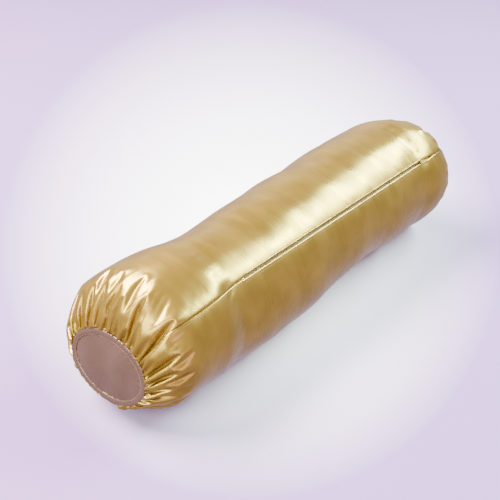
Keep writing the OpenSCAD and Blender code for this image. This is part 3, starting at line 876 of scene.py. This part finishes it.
# ---- Zip and seam stitches ----------------------------------------------------------------
# The same gold thread, 3 mm a stitch. Two rows hold the facings to the tapes, and one row
# closes the plain seam between the zip and the front gathers.
UPPER_ROW, LOWER_ROW = 9.4 * MM, 5.9 * MM    # their distances from the seam
PLAIN_SEAM = (40 * MM, 8 * MM)      # the single row keeps this far from the front and the zip

count = int((ZIP_X1 - ZIP_X0) / STITCH_PITCH)
x = ZIP_X0 + (np.arange(count) + 0.5) * STITCH_PITCH
x, offset = np.tile(x, 2), np.repeat([UPPER_ROW, -LOWER_ROW], count)
centres = seam_point(x, offset, np.sqrt(BODY_R ** 2 - offset ** 2))
outs = centres - np.stack([x, 0 * x, 0 * x + AXIS_Z], -1)
outs /= np.linalg.norm(outs, axis=-1, keepdims=True)
row = stitch_row("zip_stitches", centres, np.tile([1.0, 0, 0], (len(x), 1)), outs)
finish_piece(row, thread, "bolster", "zip_stitching")

line = cover_points[:FRONT_ROWS + 2, len(EDGE_TURN)]
line = line[(line[:, 0] > FRONT_X + PLAIN_SEAM[0]) & (line[:, 0] < ZIP_X0 - PLAIN_SEAM[1])]
run = np.concatenate([[0], np.cumsum(np.linalg.norm(np.diff(line, axis=0), axis=-1))])
spots = np.arange(STITCH_PITCH, run[-1], STITCH_PITCH)
centres = np.stack([np.interp(spots, run, line[:, k]) for k in range(3)], -1)
ways = np.gradient(centres, axis=0)
ways /= np.linalg.norm(ways, axis=-1, keepdims=True)
outs = centres * [0, 1, 1] - [0, 0, AXIS_Z]
outs -= ways * (outs * ways).sum(-1, keepdims=True)
outs /= np.linalg.norm(outs, axis=-1, keepdims=True)
row = stitch_row("long_seam_stitches", centres, ways, outs)
finish_piece(row, thread, "bolster", "long_seam_stitching")


# ---- Inner casing -------------------------------------------------------------------------
# A plain cotton ticking bag inside the cover, a tube with a flat panel at each end. It stays
# slack under the gathers and lies against the cover elsewhere.
CASING_R = 87 * MM
CASING_FRONT, CASING_REAR = FRONT_X + 26 * MM, REAR_X - 20 * MM
CASING_END_R = 34 * MM
FRONT_SHOULDER, REAR_SHOULDER = 110 * MM, 60 * MM
CASING_DROP, DROP_REACH = 8 * MM, 60 * MM    # its front end sags with the cover's
CASING_LUMPS = 0.5 * MM
CASING_FLOOR = 2.5 * MM             # its underside stays this far above the floor
CASING_DOME = 2.5 * MM
CASING_THICK = 0.8 * MM


def bag_radius(x, full, low, high, end):
    """A stuffed bag's radius: full in the middle, closing to end over a quarter ellipse as long
    as the shoulder at that end."""
    into = np.minimum((x - low) / FRONT_SHOULDER, (high - x) / REAR_SHOULDER)
    return end + (full - end) * np.sqrt(np.clip(1 - (1 - np.clip(into, 0, 1)) ** 2, 0, 1))


def bag(full, low, high, end, floor_gap, seed):
    """A bag's surface as a grid: its rows crowd at both ends by a cosine, it takes the cover's
    slump and sags at its front end by a Gaussian, and it keeps floor_gap above the floor."""
    along = 0.5 - 0.5 * np.cos(np.linspace(0, np.pi, 130))[:, None]
    x = low + (high - low) * along
    angle = np.linspace(0, 2 * np.pi, 160, endpoint=False)[None, :]
    lumps = CASING_LUMPS * ripple(x, angle, 9, 50 * MM, 7, seed)
    radius = bag_radius(x, full, low, high, end) + lumps
    points = around(x, angle, radius - slump(x, angle))
    points[..., 2] -= CASING_DROP * bell(x, low, DROP_REACH)
    points[..., 2] = np.maximum(points[..., 2], floor_gap)
    return points, np.stack([x + 0 * angle, angle * full + 0 * x], -1)


ticking = woven("cotton_ticking", "#F3EEE2", "#E9E1D0", 2.51 * MM, 2.51 * MM, 0.9)
points, cloth = bag(CASING_R, CASING_FRONT, CASING_REAR, CASING_END_R, CASING_FLOOR, 91)
casing = grid_piece("ticking_tube", points, cloth, wrap=True)
finish_piece(casing, ticking, "bolster", "inner_casing_tube", CASING_THICK)
for end, ring, side in (("front", points[0], -1), ("rear", points[-1], 1)):
    share = np.linspace(0, 1, 16)[:, None, None]
    disc = ring.mean(0) * (1 - share) + ring[None] * share
    disc[..., 0] += side * CASING_DOME * (1 - share[..., 0] ** 2)
    lid = grid_piece(end + "_ticking_panel", disc, disc[..., 1:], wrap=True, flip=side > 0)
    finish_piece(lid, ticking, "bolster", "inner_" + end + "_panel", CASING_THICK)


# ---- Fibre filling ------------------------------------------------------------------------
# Crimped, siliconised polyester fibre, packed into the casing by hand. Its soft clumps fill
# the bag to the walls.
FILL_GAP = 1.6 * MM                 # from the casing's outer face, all round
FILL_ENDS = 2 * MM
FILL_FLOOR = 4.2 * MM


def wadding():
    """Crimped white polyester fibre: matt and bright, with a soft sheen. Its tangle of strands
    is drawn in clumps of 6 mm, so that it shows."""
    m = new_material("polyester_fibre")
    place = add_node(m, "TexCoord").outputs["Object"]
    strands = add_node(m, "TexNoise", Vector=place, Scale=1 / (6.25 * MM), Detail=6.0,
                       Distortion=1.5)
    tint = add_node(m, "ValToRGB", {"stops": ((0.3, "#E8E8E6"), (0.7, "#FAFAF8"))},
                    Fac=strands.outputs[0])
    fluff = add_node(m, "Bump", Height=strands.outputs[0], Strength=0.8, Distance=2 * MM)
    shader = add_node(m, "BsdfPrincipled", Base_Color=tint.outputs[0], Roughness=0.95,
                      Sheen_Weight=0.4, Normal=fluff.outputs[0])
    add_node(m, "OutputMaterial", Surface=shader.outputs[0])
    return m


points = bag(CASING_R - FILL_GAP, CASING_FRONT + FILL_ENDS, CASING_REAR - FILL_ENDS,
             CASING_END_R - FILL_GAP, FILL_FLOOR, 92)[0]
front_pole, rear_pole = (np.repeat(ring.mean(1, keepdims=True), ring.shape[1], 1)
                         for ring in (points[:1], points[-1:]))
points = np.concatenate([front_pole, points, rear_pole])
filling = grid_piece("fibre_wadding", points, wrap=True)
finish_piece(filling, wadding(), "bolster", "fibre_filling")
